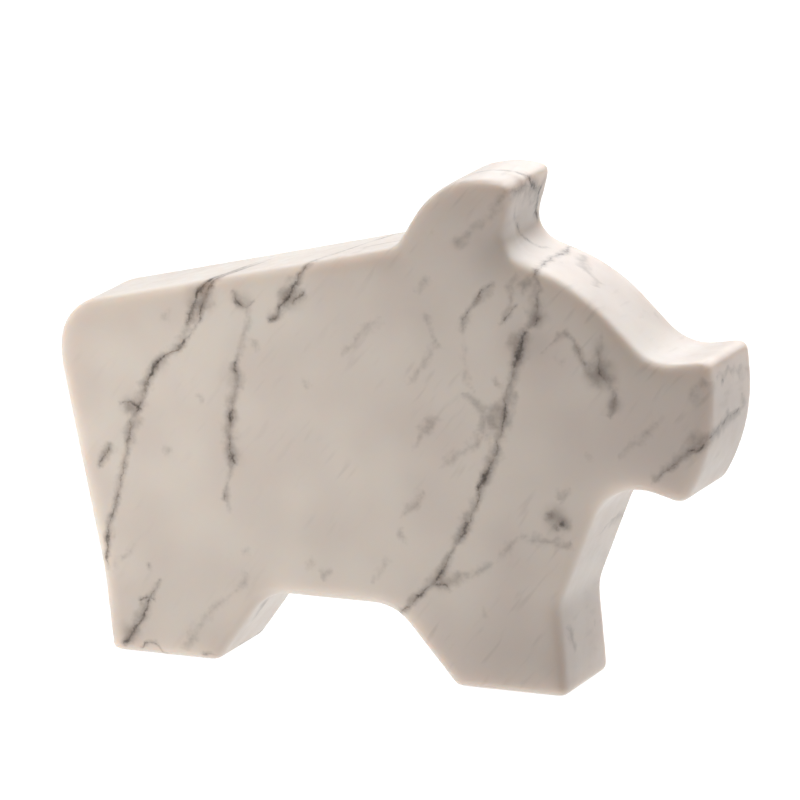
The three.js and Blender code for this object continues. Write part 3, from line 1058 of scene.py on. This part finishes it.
def stone_colour(tree, place):
    """Warm white at the rump, with painted shade greying it towards the head, and slow grey
    clouds.
    """
    along = vector_node(tree, "DOT_PRODUCT", place, (1, 0, 0), result="Value")
    # Painted shade: greyer towards the head, where less light reaches the near side.
    head = ramp(tree, along, HEAD_SHADE_FROM, HEAD_SHADE_TO, 0.0, HEAD_SHADE)
    slow = noise_node(tree, place, SLOW_GRAIN, detail=1.0).outputs["Fac"]
    clouds = ramp(tree, slow, NOISE_LOW, NOISE_HIGH, 0.0, SLOW_GREY)
    grey_and_shade = math_node(tree, "ADD", head, clouds)
    return mixed(tree, grey_and_shade, PURE_STONE, GREY_STONE_AND_SHADE)


print("stone from", PURE_STONE[:3], "to", GREY_STONE_AND_SHADE[:3])

# %% From the stone to the veins' dark cores
CLOUD_GREY = (0.21, 0.165, 0.138, 1)
VEIN_DARK = (0.042, 0.029, 0.021, 1)
FINE_GRAIN = 2.7
FINE_DEPTH = 2.1
COARSE_GRAIN = 2.0
COARSE_DEPTH = 3.0
STREAK_SHARE = 0.16

# Each layer starts at one distance, is full at the next, and then has this share of its colour.
CLOUD_LAYER = (1.3, -2.0, 0.6)
HALO_LAYER = (1.1, -0.6, 0.5)
CORE_LAYER = (0.2, -0.7, 0.95)
PALEST_INK = 0.55


def uneven(tree, gap, lumps, depth):
    """A distance with a noise added, so that its edge swells and breaks up."""
    swell = math_node(tree, "MULTIPLY_ADD", lumps, depth, -depth / 2)
    return math_node(tree, "ADD", gap, swell)


def layer_share(tree, gap, layer):
    """How much of a layer's colour shows at this distance."""
    start, full, share = layer
    return ramp(tree, gap, start, full, 0.0, share)


def veined_colour(tree, place):
    """Stone, faint streaks, stains, grey clouds, the veins' grey edges and last their cores."""
    ragged = ragged_place(tree, kept_value(tree, "bent_place", "Vector"))
    fine = noise_node(tree, place, FINE_GRAIN, detail=3.0, roughness=0.85).outputs["Fac"]
    coarse = noise_node(tree, place, COARSE_GRAIN, detail=2.0, roughness=0.6).outputs["Fac"]
    core = uneven(tree, core_gap(tree, ragged), fine, FINE_DEPTH)
    cloud = uneven(tree, kept_value(tree, "cloud_gap"), coarse, COARSE_DEPTH)
    ink = ramp(tree, coarse, NOISE_LOW, NOISE_HIGH, PALEST_INK, 1.0)
    core_share = math_node(tree, "MULTIPLY", layer_share(tree, core, CORE_LAYER), ink)
    streak = math_node(tree, "MULTIPLY", streaks(tree, place), STREAK_SHARE)
    colour = mixed(tree, streak, stone_colour(tree, place), CLOUD_GREY)
    colour = mixed(tree, kept_value(tree, "stain"), colour, CLOUD_GREY)
    colour = mixed(tree, layer_share(tree, cloud, CLOUD_LAYER), colour, CLOUD_GREY)
    colour = mixed(tree, layer_share(tree, core, HALO_LAYER), colour, CLOUD_GREY)
    return mixed(tree, core_share, colour, VEIN_DARK)


print("veins from", CLOUD_GREY[:3], "to", VEIN_DARK[:3])

# %% [markdown]
# ## The shine
# Honed marble is between matt and mirror: smooth enough for soft highlights, and nowhere quite
# equally smooth, because some grains take the polish better than others. So the roughness wanders
# a little. The crystals themselves are under half a millimetre wide. They stand out so little
# that a bump in the shader is enough for them, while everything larger is in the mesh.

# %% The finished marble
HONE_GRAIN = 4.0
HONE_LOW = 0.25
HONE_HIGH = 0.75
SHINIEST = 0.30
DULLEST = 0.44
GLOW_SPREAD = (1.0, 0.72, 0.52)
GLOW_DEPTH = 5 * MM
CRYSTAL_GRAIN = 0.45
CRYSTAL_RISE = 0.015 * MM
CRYSTAL_SHARE = 0.35


def make_marble():
    """The whole stone: its colour, its glow, its shine and its crystals."""
    material, tree, shader = new_material("veined_marble")
    place = stone_place(tree)
    feed(tree, shader.inputs["Base Color"], veined_colour(tree, place))
    hone = noise_node(tree, place, HONE_GRAIN, detail=2.0, roughness=0.65).outputs["Fac"]
    shine = ramp(tree, hone, HONE_LOW, HONE_HIGH, SHINIEST, DULLEST)
    feed(tree, shader.inputs["Roughness"], shine)
    shader.inputs["Subsurface Weight"].default_value = 1.0
    shader.inputs["Subsurface Radius"].default_value = GLOW_SPREAD
    shader.inputs["Subsurface Scale"].default_value = GLOW_DEPTH
    crystals = noise_node(tree, place, CRYSTAL_GRAIN, detail=1.0, roughness=0.6).outputs["Fac"]
    bump = add_node(tree, "ShaderNodeBump")
    bump.inputs["Strength"].default_value = CRYSTAL_SHARE
    bump.inputs["Distance"].default_value = CRYSTAL_RISE
    feed(tree, bump.inputs["Height"], crystals)
    feed(tree, shader.inputs["Normal"], bump.outputs["Normal"])
    return material


veined = make_marble()
print("marble nodes:", len(veined.node_tree.nodes))

# %% [markdown]
# ## Back to the imported model
# The finished stone takes the place of the plain solid and moves with the same body.

# %% Give the pig its place among the bodies
pig.data.materials.clear()
pig.data.materials.append(veined)
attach(pig, "root")
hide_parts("pig")
print("the pig rides on root")
